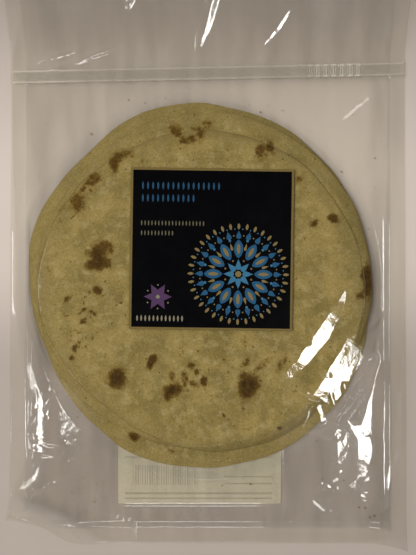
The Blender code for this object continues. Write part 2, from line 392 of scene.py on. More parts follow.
# Relief of the baked surface: size of its features, and height. The underside has a share of it.
RELIEF = ((0.030, 0.00035), (0.011, 0.00022), (0.0042, 0.00007))
BLISTER_HEIGHT = 0.00022
UNDER_RELIEF = 0.4
BREAD_TONES = {
    "base": "#A89359", "olive": "#8F7E49", "flour": "#BDAC7B", "rim": "#998652",
    "halo": "#8B7238", "toast": "#60471A", "char": "#38260D", "speck": "#5F4C22",
}
# Browning: tone, where on the scale of toasting it starts, where it is full, and its full share.
BROWNING = (("halo", 0.24, 0.52, 0.7), ("toast", 0.46, 0.72, 1.0), ("char", 0.82, 1.20, 1.0))
PATCH_WARPS = ((0.0060, 0.0017), (0.0025, 0.0009))
MOTTLE_MM = 14.0
FLOUR_MM = 5.0
GRAIN_MM = 1.1
SPECK_MM = 4.2
RAGGED_MM = 2.3256
# Toasted patches in millimetres: x, y, half length, half width, angle in degrees, strength.
PATCHES = (
    (-64, 13.5, 5.5, 3, -15, 0.75), (-68, 8, 5.5, 4.5, 80, 1.0), (-73, 10.5, 3, 1.8, 150, 0.7),
    (-71.5, 2.5, 4, 2.6, 30, 0.9), (-62.5, 3.5, 4.5, 2.8, 100, 0.7), (-67.5, 4, 5, 4, 0, 1.0),
    (-56.5, 68, 6, 3.2, 70, 0.8), (-51, 71.5, 5.5, 2.8, 10, 0.62), (-57.5, 62.5, 2.6, 2, 90, 0.85),
    (-19.5, 86, 5, 3.2, 130, 0.75), (-13, 79, 6, 2.6, 10, 0.7), (-4.5, 83.5, 4.5, 2.4, 80, 0.75),
    (-1, 90, 3.8, 2.2, 30, 0.7), (-9, 88, 2.2, 1.5, 0, 0.6), (-23.5, 91, 1.7, 1.3, 0, 0.5),
    (-80, 41, 6, 4.2, 70, 0.72), (-71, 54.5, 5, 2.8, 25, 0.75), (-76.5, 50, 3.5, 0.9, 80, 0.8),
    (-72.5, 47.5, 1.6, 1.4, 0, 0.7), (32.5, 71.5, 4.2, 3, 75, 0.75), (38.5, 75, 4.2, 2.7, 100, 0.8),
    (35.5, 69, 3.2, 1.3, 60, 0.5), (56.5, 55.5, 4.4, 3, 60, 0.45), (57, 55, 2, 1.4, 100, 0.7),
    (77.5, 30.5, 3, 2.5, 0, 0.95), (65, 27.5, 2.8, 1.8, 30, 0.85), (98.5, -8, 9, 3, 90, 1.0),
    (95, -17.5, 3.2, 2.2, 0, 0.75), (-55.5, -67.5, 5.4, 4.4, 60, 1.0), (-58.5, -72.5, 2.2, 1.9, 0, 0.8),
    (-64.5, -68, 2.6, 0.9, 60, 0.45), (-62, -72, 2.6, 0.9, 150, 0.45), (-22, -75.5, 5.2, 3.8, 30, 1.0),
    (-22, -66.5, 3.2, 2.6, 90, 0.6), (-14, -69.5, 6.5, 1.6, 97, 0.65), (-8.5, -71, 2.4, 1.9, 160, 0.7),
    (-3, -69.5, 1.9, 1.7, 130, 0.9), (-10.5, -60.5, 1.9, 1.7, 0, 0.85), (-7.5, -64.5, 1.7, 1.4, 0, 0.8),
    (25, -72.5, 6.5, 5, 60, 1.0), (24, -68, 5.2, 3, 150, 0.7), (31.5, -61.5, 6.5, 1.8, 50, 0.55),
    (36, -57, 4, 1.6, 30, 0.45), (45, -59, 5, 1.6, 53, 0.6), (23.5, -58, 3, 2, 60, 0.65),
    (22.5, -46, 4, 1.9, 100, 0.45), (-34, -57.5, 4, 2.1, 46, 0.9), (-67.5, -14, 2.6, 2.3, 150, 0.85),
    (-86, -18.5, 2.6, 1.7, 56, 0.75), (-77, -32.5, 1.9, 1.4, 100, 0.8), (-76.5, -25, 1.5, 1.3, 0, 0.9),
    (-71, -27, 2.4, 1.2, 125, 0.75), (-82, -49.5, 1.9, 1.4, 100, 0.85), (-83.5, -55, 1.5, 1.3, 0, 0.85),
    (-46, -105, 3.2, 2.3, 165, 1.0), (-62, -97.5, 2, 1.1, 60, 0.8), (-23, -116, 1.4, 1.1, 0, 0.7),
    (-88, -69, 2.8, 1, 129, 0.5), (44, -99, 1.7, 1.4, 0, 0.75), (-91, 36.5, 3, 1.2, 50, 0.5),
    (-90.5, 30.5, 1.8, 1, 110, 0.5), (-100, 25, 3, 0.8, 76, 0.45), (-98, -1.5, 2.3, 1.2, 100, 0.6),
)
# Fine toasted dots in millimetres: x, y and half size.
random.seed(11)
DOTS = [(random.gauss(-78, 9), random.gauss(-34, 17), random.uniform(0.4, 0.85)) for _ in range(60)]
DOTS += [(random.uniform(-35, 55), random.uniform(-112, -45), random.uniform(0.35, 0.8)) for _ in range(60)]
DOTS += [(random.uniform(-85, 85), random.uniform(-80, 80), random.uniform(0.35, 0.65)) for _ in range(50)]


def mesh_points(piece):
    """The points of a mesh, as rows of three."""
    points = np.empty(len(piece.data.vertices) * 3)
    piece.data.vertices.foreach_get("co", points)
    return points.reshape(-1, 3)


def move_points(piece, points):
    """Gives the points of a mesh their new places."""
    piece.data.vertices.foreach_set("co", points.ravel())


def mark_points(piece, name, values):
    """Gives each point of a mesh a value that its material reads."""
    marks = piece.data.attributes.new(name, "FLOAT", "POINT")
    marks.data.foreach_set("value", values)


def field(points, size, seed):
    """Smooth noise between -1 and 1 at rows of points, with features of the given size."""
    shift = Vector((seed * 7.31, seed * 3.17, seed * 5.23))
    return np.array([noise.noise(Vector(point) / size + shift) for point in points])


def toasting(x, y):
    """How toasted the bread's upper side is: 1 in the middle of a patch, falling off past its edge."""
    found = np.zeros_like(x)
    places = np.stack([x, y, np.zeros_like(x)], axis=-1)
    x = x + sum(shift * field(places, size, 31) for size, shift in PATCH_WARPS)
    y = y + sum(shift * field(places, size, 37) for size, shift in PATCH_WARPS)
    rows = [(*patch[:4], math.radians(patch[4]), patch[5]) for patch in PATCHES]
    rows += [(dot_x, dot_y, size, size, 0.0, 0.75) for dot_x, dot_y, size in DOTS]
    for middle_x, middle_y, half_length, half_width, angle, strength in rows:
        dx = x * 1000.0 - middle_x
        dy = y * 1000.0 - middle_y
        along = (dx * math.cos(angle) + dy * math.sin(angle)) / half_length
        across = (dy * math.cos(angle) - dx * math.sin(angle)) / half_width
        found = np.maximum(found, strength * np.clip(1.5 - 0.75 * np.hypot(along, across), 0.0, 1.0))
    return found


def wobble(index, angle):
    """The small unevenness of one bread's edge."""
    rng = random.Random(index)
    offset = np.zeros_like(angle)
    for waves, height in RIM_WAVES:
        offset += height * np.sin(waves * angle + rng.uniform(0.0, 2.0 * math.pi))
    return offset


def under_height(index, x, y):
    """The height that one bread lies at: it droops over the edges of those below it."""
    height = np.full_like(x, BREAD_START)
    for bread in BREADS[:index]:
        drop = smooth(-0.0005, BREAD_DROOP, past_edge(bread, x, y))
        height += BREAD_SPACING * SETTLED_SHARE * (1.0 - drop)
    return height


def make_bread(index):
    """One chapati, from a flattened ball: its rings become the disc's rings and its rounded edge."""
    segments, rings = TOP_MESH if index == len(BREADS) - 1 else UNDER_MESH
    bpy.ops.object.select_all(action="DESELECT")
    bpy.ops.mesh.primitive_uv_sphere_add(segments=segments, ring_count=rings, radius=1.0)
    piece = take_active(f"chapati_{index + 1}")
    ball = mesh_points(piece)
    latitude = np.arcsin(np.clip(ball[:, 2], -1.0, 1.0)) / (math.pi / 2.0)
    outward = 1.0 - np.abs(latitude)
    angle = np.arctan2(ball[:, 1], ball[:, 0])
    bread = BREADS[index]
    radius = edge_radius(bread, np.degrees(angle)) + wobble(index, angle)
    turn = np.clip((outward - FLAT_RINGS) / (1.0 - FLAT_RINGS), 0.0, 1.0) * math.pi / 2.0
    flat = np.clip(outward / FLAT_RINGS, 0.0, 1.0) * (radius - RIM_ROUND)
    reach = flat + RIM_ROUND * np.sin(turn)
    x = bread[0] + reach * np.cos(angle)
    y = bread[1] + reach * np.sin(angle)
    upper = latitude > 0.0
    from_edge = radius - reach
    places = np.stack([x, y, np.full_like(x, 0.05 * index)], axis=-1)
    relief = sum(height * field(places, size, index + 1) for size, height in RELIEF)
    dark = toasting(x, y)
    relief += BLISTER_HEIGHT * np.clip(dark, 0.0, 1.0)
    relief *= smooth(0.0, 0.004, from_edge)
    thinned = np.where(upper, RIM_THINNING * (1.0 - smooth(0.0, RIM_REACH, from_edge)), 0.0)
    body = BREAD_THICKNESS * (0.5 + 0.5 * np.cos(turn) * np.where(upper, 1.0, -1.0)) * (1.0 - thinned)
    z = under_height(index, x, y) + body + np.where(upper, relief, UNDER_RELIEF * relief)
    lift = underside(x, y)[:, 2]
    ceiling = film_rise(x, y) - BREAD_CLEARANCE - CLEARANCE_STEP * (len(BREADS) - 1 - index)
    room = np.where(upper, ceiling, ceiling - THINNEST)
    z = lift + np.minimum(z, np.maximum(room, np.where(upper, *LOWEST)))
    move_points(piece, np.stack([x, y, z], axis=-1))
    mark_points(piece, "toast", np.where(upper, dark, 0.0))
    mark_points(piece, "rim", 1.0 - smooth(0.0, RIM_TONE_REACH, from_edge))
    piece.data.shade_smooth()
    return piece


def baked_chapati():
    """Griddle-baked wheat dough: matt, mottled cream and olive, flour-pale where it stayed raw, the
    blisters toasted brown with a paler ring, and fine specks of bran all over."""
    material, tree, place = new_material("baked_wheat_dough")
    tones = {name: colour(value) for name, value in BREAD_TONES.items()}
    mottle = add_node(tree, "TexNoise",
                      {"Vector": place, "Scale": 1000.0 / MOTTLE_MM, "Detail": 4.0, "Roughness": 0.6})
    spread = add_node(tree, "MapRange", {"Value": mottle, "From Min": 0.40, "From Max": 0.62})
    dust = add_node(tree, "TexNoise",
                    {"Vector": place, "Scale": 1000.0 / FLOUR_MM, "Detail": 6.0, "Roughness": 0.65})
    dusted = add_node(tree, "MapRange",
                      {"Value": dust, "From Min": 0.50, "From Max": 0.68, "To Max": 0.60})
    rim = add_node(tree, "Attribute", attribute_name="rim").outputs["Fac"]
    rim_share = add_node(tree, "Math", {0: rim, 1: 0.75}, operation="MULTIPLY")
    cells = add_node(tree, "TexVoronoi", {"Vector": place, "Scale": 1000.0 / SPECK_MM})
    cell_size = add_node(tree, "SeparateColor", {"Color": cells.outputs["Color"]})
    speck_reach = add_node(tree, "MapRange",
                           {"Value": cell_size, "From Min": 0.35, "From Max": 1.0, "To Min": 0.0,
                            "To Max": 0.15})
    speck = add_node(tree, "Math", {0: cells, 1: speck_reach}, operation="LESS_THAN")
    speck_share = add_node(tree, "Math", {0: speck, 1: 0.80}, operation="MULTIPLY")
    toast = add_node(tree, "Attribute", attribute_name="toast").outputs["Fac"]
    ragged = add_node(tree, "TexNoise",
                      {"Vector": place, "Scale": 1000.0 / RAGGED_MM, "Detail": 7.0, "Roughness": 0.8})
    ragged_part = add_node(tree, "Math", {0: ragged, 1: 1.5, 2: -0.75}, operation="MULTIPLY_ADD")
    burnt = add_node(tree, "Math", {0: toast, 1: ragged_part}, operation="ADD")
    layers = [("olive", spread), ("flour", dusted), ("rim", rim_share), ("speck", speck_share)]
    for name, starts, full, most in BROWNING:
        share = add_node(tree, "MapRange",
                         {"Value": burnt, "From Min": starts, "From Max": full, "To Max": most})
        layers.append((name, share))
    tone = tones["base"]
    for name, share in layers:
        tone = add_node(tree, "Mix", {"Factor": share, "A": tone, "B": tones[name]}, data_type="RGBA")
    grain = add_node(tree, "TexNoise", {"Vector": place, "Scale": 1000.0 / GRAIN_MM, "Detail": 3.0})
    graininess = add_node(tree, "MapRange",
                          {"Value": grain, "From Min": 0.3, "From Max": 0.7, "To Min": 0.81,
                           "To Max": 1.17})
    grained = add_node(tree, "HueSaturation", {"Color": tone, "Value": graininess})
    bump = add_node(tree, "Bump", {"Height": grain, "Strength": 0.5, "Distance": 0.0003})
    blister = add_node(tree, "Bump",
                       {"Height": mottle, "Strength": 0.35, "Distance": 0.0012, "Normal": bump})
    shader = add_node(tree, "BsdfPrincipled",
                      {"Base Color": grained, "Roughness": 0.82, "IOR": 1.4, "Specular IOR Level": 0.3,
                       "Normal": blister})
    return finished(material, shader)


dough = baked_chapati()
for bread_index in range(len(BREADS)):
    chapati = make_bread(bread_index)
    settle(chapati, dough)
    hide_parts("bag")

# The film bag: two plies of stiff clear polypropylene, 0.05 mm each, welded down both sides and
# along the bottom. It hangs loosely over the bread and creases sharply where it is handled.
FILM_STEP = 0.00108
LOWER_PLY_SHARE = 0.30
SLOPE_STEP = 0.0004
# The labels' sizes and places: the film is flat under one and dented by the other.
LABEL_SIDE = 0.100
LABEL_HEIGHT = 0.099
LABEL_X = 0.0022
LABEL_Y = 0.0117
LABEL_STIFF_REACH = 0.012
LABEL_RELIEF = 0.00045
BACK_LABEL_SIZE = (0.1036, 0.0960)
BACK_LABEL_MIDDLE = (-0.0054, -0.1015)
BACK_LABEL_EDGE = 0.0012
UNDULATION = ((0.030, 0.00040), (0.010, 0.00013), (0.0038, 0.00004))
# A crest wavers by this much, in a long and a short wave.
CREASE_WAVER_MM = 0.22
CREASE_WAVES_MM = (3.1, 1.1)
TENT_WAVES_MM = (2.9, 1.0)
# Smears from handling: their width and length, and how far they are turned.
SMEAR_MM = (9.0, 46.0)
SMEAR_TURN = 0.35
FILM_RIPPLE_MM = 3.0303
# How much less flat film mirrors below the closure, how much that grows to the right edge, and the
# share lost past the fold there; and how much less the lip mirrors.
FLAT_FILM = (0.80, 0.56, 0.60)
LIP_FILM = 0.35
# Creases in millimetres: start and end of the crest, the lit side's width, the other side's width
# and the height. The lit side is on the right, seen from the start.
CREASES = (
    (42, -71, 84, -13, 9.5, 7, 1.28), (83, -140, 79, -90, 14, 6, 1.08),
    (-114, -101, -91, -65, 3.6, 4, 1.05), (-106, -87, -112, -73, 2.2, 3, 0.6),
    (-112, -106, -90, -112, 3.4, 4, 0.8), (-120, -111, -94, -119, 2.2, 3, 0.5),
    (-120, -142, -94, -136, 2.4, 3, 0.6), (-117, -140, -108, -116, 2.0, 3, 0.5),
    (-103, 124, -49, 144, 3.2, 5, 1.80), (-109, 131, -74, 141, 3.0, 4, 1.60),
    (-9, 132, 8, 184, 5.0, 5.0, 0.98), (-50, 160, -43, 184, 3.4, 4, 1.1),
    (29, 136, 52, 164, 4.2, 5, 0.86), (75, 88, 115, 122, 3.6, 4, 0.93),
    (95, -146, 112, -154, 2, 2, 0.12), (94, -142, 104, -126, 2.4, 2.6, 0.14),
    (-76, 70, -70, 76, 2, 2, 0.3), (116, -150, 113, -104, 1.6, 1.4, 0.48),
    (113, -106, 111.5, -52, 1.6, 1.4, 0.42),
)
# Taut folds in millimetres: the crest's start with its height, its end with its height, the lit
# side's width and slope, and the other side's slope.
TENTS = (
    (63, -78, 13.8, 85, -42, 13.6, 17.0, 0.095, 0.30), (84, -44, 13.4, 100, -33, 11.0, 2.6, 0.105, 0.5),
    (91.4, -96, 5.0, 98.5, -55, 10.5, 3.6, 0.064, 0.6), (81, -98, 5.2, 90.5, -80, 9.5, 2.6, 0.08, 0.6),
    (70, -97, 12.4, 65, -84, 13.2, 5.0, 0.10, 0.35),
)
TENT_FALL = 1.1
TENT_END_FALL = 0.7
FINE_CREASES = 44
FINE_ZONES = ((-118, -98, -150, -60), (70, 112, -150, -50), (60, 105, -160, -130), (55, 105, 128, 140))
# Where the film is crumpled by handling, in millimetres: middle and reach.
CRUMPLED = ((84, -92, 46), (-106, -100, 40), (88, 124, 24), (96, -146, 24), (-8, 150, 20))


def crumpling(x, y):
    """How crumpled the film is, from 0 where it lies smooth to 1 where it was handled most."""
    found = np.zeros_like(x)
    for middle_x, middle_y, reach in CRUMPLED:
        away = np.hypot(x * 1000.0 - middle_x, y * 1000.0 - middle_y) / reach
        found = np.maximum(found, np.exp(-away * away * 1.5))
    return found


def fine_creases():
    """Small random creases in the loose parts of the film, in millimetres like the others."""
    rng = random.Random(5)
    rows = []
    for count in range(FINE_CREASES):
        low_x, high_x, low_y, high_y = FINE_ZONES[count % len(FINE_ZONES)]
        x = rng.uniform(low_x, high_x)
        y = rng.uniform(low_y, high_y)
        angle = rng.uniform(0.0, 2.0 * math.pi)
        length = rng.uniform(5.0, 18.0)
        side = rng.uniform(1.6, 3.2)
        rows.append((x, y, x + length * math.cos(angle), y + length * math.sin(angle), side, side,
                     side * rng.uniform(0.05, 0.16)))
    return rows


def on_fold(x, y, start_x, start_y, end_x, end_y, waves):
    """A fold's length, and how far points lie along it and to the right of its wavering crest."""
    length = math.hypot(end_x - start_x, end_y - start_y)
    along_x = (end_x - start_x) / length
    along_y = (end_y - start_y) / length
    dx = x * 1000.0 - start_x
    dy = y * 1000.0 - start_y
    along = dx * along_x + dy * along_y
    waver = np.sin(along / waves[0] + start_x) + 0.35 * np.sin(along / waves[1] + start_y)
    return length, along, dx * along_y - dy * along_x + CREASE_WAVER_MM * waver


def crease_height(x, y):
    """The creases' height: each has a crest, two flat sides and ends that narrow to a point."""
    height = np.zeros_like(x)
    for *ends, lit, back, rise in (*CREASES, *fine_creases()):
        length, along, across = on_fold(x, y, *ends, CREASE_WAVES_MM)
        taper = np.sqrt(np.maximum(np.sin(math.pi * np.clip(along / length, 0.0, 1.0)), 1e-9))
        side = np.where(across > 0.0, across / lit, -across / back) / taper
        height += rise * taper * np.clip(1.0 - side, 0.0, 1.0)
    return height / 1000.0


def tent_height(x, y):
    """The height that the taut folds hold the film at, each falling away from its crest."""
    height = np.zeros_like(x)
    for start_x, start_y, start_z, end_x, end_y, end_z, lit, lit_slope, back_slope in TENTS:
        length, along, across = on_fold(x, y, start_x, start_y, end_x, end_y, TENT_WAVES_MM)
        crest = start_z + (end_z - start_z) * np.clip(along / length, 0.0, 1.0)
        past_end = np.maximum(np.maximum(-along, along - length), 0.0)
        fall = lit_slope * np.clip(across, 0.0, lit) + TENT_FALL * np.maximum(across - lit, 0.0)
        fall += back_slope * np.maximum(-across, 0.0) + TENT_END_FALL * past_end
        height = np.maximum(height, crest - fall)
    return height / 1000.0


def label_mask(x, y, middle, size, edge):
    """1 over a label and 0 past its edge."""
    past = np.maximum(np.abs(x - middle[0]) - size[0] / 2.0, np.abs(y - middle[1]) - size[1] / 2.0)
    return 1.0 - smooth(0.0, edge, past)


def upper_film(x, y):
    """Where points of the flat sheet lie on the upper ply."""
    across = underside(x + SLOPE_STEP, y) - underside(x - SLOPE_STEP, y)
    along = underside(x, y + SLOPE_STEP) - underside(x, y - SLOPE_STEP)
    normal = np.cross(across, along)
    normal /= np.linalg.norm(normal, axis=-1, keepdims=True)
    under_label = label_mask(x, y, (LABEL_X, LABEL_Y), (LABEL_SIDE, LABEL_HEIGHT),
                             LABEL_STIFF_REACH)
    loose = smooth(-0.004, 0.010, inside_seals(x, y)) * (1.0 - under_label)
    loose = np.maximum(loose, smooth(0.002, 0.012, y - zip_middle(x)))
    places = np.stack([x, y, np.zeros_like(x)], axis=-1)
    waves = sum(height * field(places, size, 9) for size, height in UNDULATION)
    waves = waves * (0.30 + 0.70 * crumpling(x, y))
    rise = np.maximum(film_rise(x, y), tent_height(x, y)) + loose * waves
    rise = rise + crease_height(x, y) * (1.0 - under_label)
    band = 1.0 - smooth(0.35, 0.75, np.abs(y - zip_middle(x)) / ZIP_HEIGHT)
    rise = rise + (ZIP_THICKNESS - FILM_THICKNESS) * band
    return underside(x, y) + normal * np.maximum(rise, FILM_THICKNESS)[:, None]


def give_wall(piece, thickness, offset):
    """Gives the newest object, a flat mesh, a second wall and closes its edge."""
    wall = piece.modifiers.new("wall", "SOLIDIFY")
    wall.thickness = thickness
    wall.offset = offset
    bpy.ops.object.modifier_apply(modifier=wall.name)


def walled_grid(name, columns, rows, thickness, offset):
    """A grid of unit size with two walls, about the origin."""
    bpy.ops.object.select_all(action="DESELECT")
    bpy.ops.mesh.primitive_grid_add(x_subdivisions=columns, y_subdivisions=rows, size=1.0)
    piece = take_active(name)
    give_wall(piece, thickness, offset)
    return piece


def mark_film(piece, x, y):
    """Marks how crumpled the film is, where it mirrors less because it is welded or lies flat, and
    where it is duller because it is stretched over the breads' edges or down the right margin."""
    edges = [past_edge(bread, x, y) for bread in BREADS]
    depth = np.minimum(BAG_WIDTH / 2.0 - SEAL_WIDTH - np.abs(x), y - BAG_BOTTOM - SEAL_WIDTH)
    welded = 1.0 - smooth(-0.0006, 0.0006, depth)
    from_zip = zip_middle(x) - ZIP_HEIGHT / 2.0 - y
    lying = smooth(0.0, 0.004, np.min(edges, axis=0)) * smooth(0.0, 0.006, from_zip)
    lying *= smooth(-0.010, 0.080, y) * (FLAT_FILM[0] + FLAT_FILM[1] * x / (BAG_WIDTH / 2.0))
    lying *= 1.0 - FLAT_FILM[2] * smooth(0.098, 0.106, x)
    above_zip = LIP_FILM * smooth(0.0, 0.004, y - zip_middle(x) - ZIP_HEIGHT / 2.0)
    strained = np.max([smooth(-0.0035, -0.0005, edge) * smooth(DRAPE_WIDTH + 0.003, DRAPE_WIDTH, edge)
                       for edge in edges], axis=0)
    strained *= 1.0 - smooth(0.15, 0.45, crumpling(x, y))
    margin_start = BAG_WIDTH / 2.0 - SEAL_WIDTH - 0.006 * smooth(-0.148, -0.156, y)
    mark_points(piece, "crumple", crumpling(x, y))
    mark_points(piece, "weld", np.maximum(welded, lying + above_zip))
    mark_points(piece, "cling", np.maximum(strained, smooth(-0.001, 0.001, x - margin_start)))


def make_film():
    """A grid given two walls, whose points are then laid on the upper and the lower ply."""
    columns = round(BAG_WIDTH / FILM_STEP)
    rows = round((BAG_TOP - BAG_BOTTOM) / FILM_STEP)
    piece = walled_grid("film_bag", columns, rows, 1.0, -1.0)
    flat = mesh_points(piece)
    x = flat[:, 0] * BAG_WIDTH
    y = BAG_BOTTOM + (flat[:, 1] + 0.5) * (BAG_TOP - BAG_BOTTOM)
    y = y + (zip_middle(x) - ZIP_Y) * (1.0 - smooth(0.0, ZIP_BLEND, np.abs(y - ZIP_Y)))
    upper = flat[:, 2] > -0.5
    lower = underside(x, y)
    lower[:, 2] += LABEL_RELIEF * label_mask(x, y, BACK_LABEL_MIDDLE, BACK_LABEL_SIZE, BACK_LABEL_EDGE)
    move_points(piece, np.where(upper[:, None], upper_film(x, y), lower))
    mark_film(piece, x, y)
    lower_ply = piece.vertex_groups.new(name="lower_ply")
    inside = (np.abs(flat[:, 0]) < 0.498) & (np.abs(flat[:, 1]) < 0.498)
    lower_ply.add(np.flatnonzero(~upper & inside).tolist(), 1.0, "REPLACE")
    thinning = piece.modifiers.new("plainer_lower_ply", "DECIMATE")
    thinning.ratio = 0.5 + 0.5 * LOWER_PLY_SHARE
    thinning.vertex_group = lower_ply.name
    bpy.ops.object.modifier_apply(modifier=thinning.name)
    piece.data.shade_smooth()
    return piece


def clear_film():
    """Cast polypropylene film: clear and hard-gloss, so each ply mirrors a little of the room and
    every crease flashes. A welded margin mirrors like one ply, smears from handling vary it all
    over, and it is dull where it is stretched over the breads' edges."""
    material, tree, place = new_material("clear_polypropylene_film")
    ripple = add_node(tree, "TexNoise",
                      {"Vector": place, "Scale": 1000.0 / FILM_RIPPLE_MM, "Detail": 3.0})
    crumple = add_node(tree, "Attribute", attribute_name="crumple").outputs["Fac"]
    strength = add_node(tree, "Math", {0: crumple, 1: 0.30, 2: 0.03}, operation="MULTIPLY_ADD")
    bump = add_node(tree, "Bump", {"Height": ripple, "Strength": strength, "Distance": 0.00035})
    facing = add_node(tree, "LayerWeight", {"Blend": 0.5, "Normal": bump}).outputs["Facing"]
    grazing = add_node(tree, "Math", {0: facing, 1: 4.0}, operation="POWER")
    weld = add_node(tree, "Attribute", attribute_name="weld").outputs["Fac"]
    straight = add_node(tree, "Math", {0: weld, 1: -0.075, 2: 0.125}, operation="MULTIPLY_ADD")
    even = add_node(tree, "Math", {0: grazing, 1: 0.55, 2: straight}, operation="MULTIPLY_ADD")
    drawn = add_node(tree, "Mapping",
                     {"Vector": place, "Scale": (1000.0 / SMEAR_MM[0], 1000.0 / SMEAR_MM[1], 1.0),
                      "Rotation": (0.0, 0.0, SMEAR_TURN)})
    smears = add_node(tree, "TexNoise", {"Vector": drawn, "Scale": 1.0, "Detail": 4.0})
    smeared = add_node(tree, "MapRange",
                       {"Value": smears, "From Min": 0.32, "From Max": 0.68, "To Min": 0.70,
                        "To Max": 1.30})
    mirror = add_node(tree, "Math", {0: even, 1: smeared}, operation="MULTIPLY")
    cling = add_node(tree, "Attribute", attribute_name="cling").outputs["Fac"]
    dulled = add_node(tree, "Mix",
                      {"Factor": cling, "A": colour("#FFFFFF"), "B": colour("#454545")}, data_type="RGBA")
    through = add_node(tree, "BsdfTransparent", {"Color": colour("#FDFDFB")})
    gloss = add_node(tree, "BsdfGlossy", {"Color": dulled, "Roughness": 0.06, "Normal": bump})
    halo = add_node(tree, "BsdfGlossy", {"Color": dulled, "Roughness": 0.24, "Normal": bump})
    sheen = add_node(tree, "MixShader", {"Fac": 0.08, 1: gloss, 2: halo})
    film = add_node(tree, "MixShader", {"Fac": mirror, 1: through, 2: sheen})
    return finished(material, film)


film_bag = make_film()
settle(film_bag, clear_film())
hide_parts("bag")

# The closure across the mouth: a strip of thicker clear plastic pressed onto the film, with a rail
# along each edge and fine upright ribs between them for grip.
BAND_COLUMNS = 680
BAND_ROWS = 22
BAND_LIFT = 0.00012
BAND_SINK = 0.00010
RAIL_PLACE = 0.0035
RAIL_WIDTH = 0.0006
RAIL_HEIGHT = 0.00040
RIB_PITCH = 0.0015
RIB_HEIGHT = 0.00034
# Along the strip, the ribs stand full height between the middle two of these places and are worn
# outside the outer two. The same for where painted glints whiten the ribs, and the waves of those painted
# glints in a metre.
FULL_RIBS = (0.056, 0.068, 0.095, 0.100)
WORN_RIBS = 0.25
PAINTED_GLINT = (0.058, 0.072, 0.094, 0.100)
PAINTED_GLINT_WAVES = 610.0
# How much the painted glints whiten the ribs, and where the rails at the left end are painted whiter as a
# glint, and how much.
PAINTED_GLINT_STRENGTH = 3.0
LEFT_PAINTED_GLINT = (-0.070, -0.100, 1.5)
HAZE_MM = 11.111


def between(places, x):
    """1 between the middle two of four places, and 0 outside the outer two."""
    return smooth(places[0], places[1], x) * smooth(places[3], places[2], x)


def band_profile(x, across):
    """How far the strip stands above the film: its two rails and the ribs between them."""
    rails = np.exp(-(((np.abs(across) - RAIL_PLACE) / RAIL_WIDTH) ** 2)) * RAIL_HEIGHT
    ribs = (0.5 + 0.5 * np.cos(2.0 * np.pi * x / RIB_PITCH)) ** 2 * RIB_HEIGHT
    inside_rails = 1.0 - smooth(RAIL_PLACE - 0.0012, RAIL_PLACE - 0.0004, np.abs(across))
    worn = WORN_RIBS + (1.0 - WORN_RIBS) * between(FULL_RIBS, x)
    return rails + ribs * inside_rails * worn


def make_band():
    """A fine grid with two walls, laid along the mouth: its upper side takes the rails and ribs."""
    piece = walled_grid("closure_strip", BAND_COLUMNS, BAND_ROWS, 1.0, -1.0)
    flat = mesh_points(piece)
    x = flat[:, 0] * (BAG_WIDTH - 0.0012)
    across = flat[:, 1] * ZIP_HEIGHT
    on_film = upper_film(x, zip_middle(x) + across)
    stands = band_profile(x, across)
    on_film[:, 2] += np.where(flat[:, 2] > -0.5, BAND_LIFT + stands, -BAND_SINK)
    move_points(piece, on_film)
    # Painted glints: the milky white share is raised in stripes across the ribs near the right end and along
    # the rails at the left end.
    painted_glint_share = PAINTED_GLINT_STRENGTH * between(PAINTED_GLINT, x) * np.sin(x * PAINTED_GLINT_WAVES) ** 2
    painted_glint_share += LEFT_PAINTED_GLINT[2] * smooth(*LEFT_PAINTED_GLINT[:2], x)
    mark_points(piece, "thickness_and_painted_glint", np.clip(stands / RAIL_HEIGHT, 0.0, 1.0) * (1.0 + painted_glint_share))
    piece.data.shade_smooth()
    return piece


def ribbed_plastic():
    """Pressed clear polyethylene: thicker and milkier than the film, with painted glints on its ribs and
    rails as a whiter milky share.
    """
    material, tree, place = new_material("pressed_clear_polyethylene")
    facing = add_node(tree, "LayerWeight", {"Blend": 0.5}).outputs["Facing"]
    grazing = add_node(tree, "Math", {0: facing, 1: 4.0}, operation="POWER")
    mirror = add_node(tree, "Math", {0: grazing, 1: 0.5, 2: 0.05}, operation="MULTIPLY_ADD")
    haze = add_node(tree, "TexNoise", {"Vector": place, "Scale": 1000.0 / HAZE_MM, "Detail": 3.0})
    rough = add_node(tree, "MapRange", {"Value": haze, "To Min": 0.05, "To Max": 0.14})
    through = add_node(tree, "BsdfTransparent", {"Color": colour("#FEFEFC")})
    milk = add_node(tree, "BsdfDiffuse", {"Color": colour("#F6EBDC")})
    thickness_and_painted_glint = add_node(tree, "Attribute", attribute_name="thickness_and_painted_glint").outputs["Fac"]
    milk_and_painted_glint = add_node(tree, "Math", {0: thickness_and_painted_glint, 1: 0.11, 2: 0.085}, operation="MULTIPLY_ADD")
    cloudy = add_node(tree, "MixShader", {"Fac": milk_and_painted_glint, 1: through, 2: milk})
    gloss = add_node(tree, "BsdfGlossy", {"Color": colour("#FFFFFF"), "Roughness": rough})
    plastic = add_node(tree, "MixShader", {"Fac": mirror, 1: cloudy, 2: gloss})
    return finished(material, plastic)


closure_strip = make_band()
settle(closure_strip, ribbed_plastic())

# The front label: a square of coated paper, printed near-black to a narrow gold edge and stuck on
# the film over the bread. It is stiffer than the film, so it lies nearly flat.
LABEL_BASE = 0.0126
LABEL_THICKNESS = 0.0003
LABEL_CORNER = 0.0012
LABEL_TURN = math.radians(-0.8)
LABEL_CELLS = 60
LABEL_WAVE = 0.00012
BORDER_WIDTH = 0.0014
INK_HEIGHT = 0.00003
RUB_MM = 8.3333
INK_UPTAKE_MM = 1.1111
# Finer in real paper, and drawn this coarse so that it shows.
PAPER_TOOTH_MM = 0.4


def label_wave(x, y):
    """The label's slight unevenness, for places in metres from its middle."""
    return LABEL_WAVE * (1.0 + np.sin(x * 70.0 + 0.6) * np.cos(y * 55.0 - 0.4))


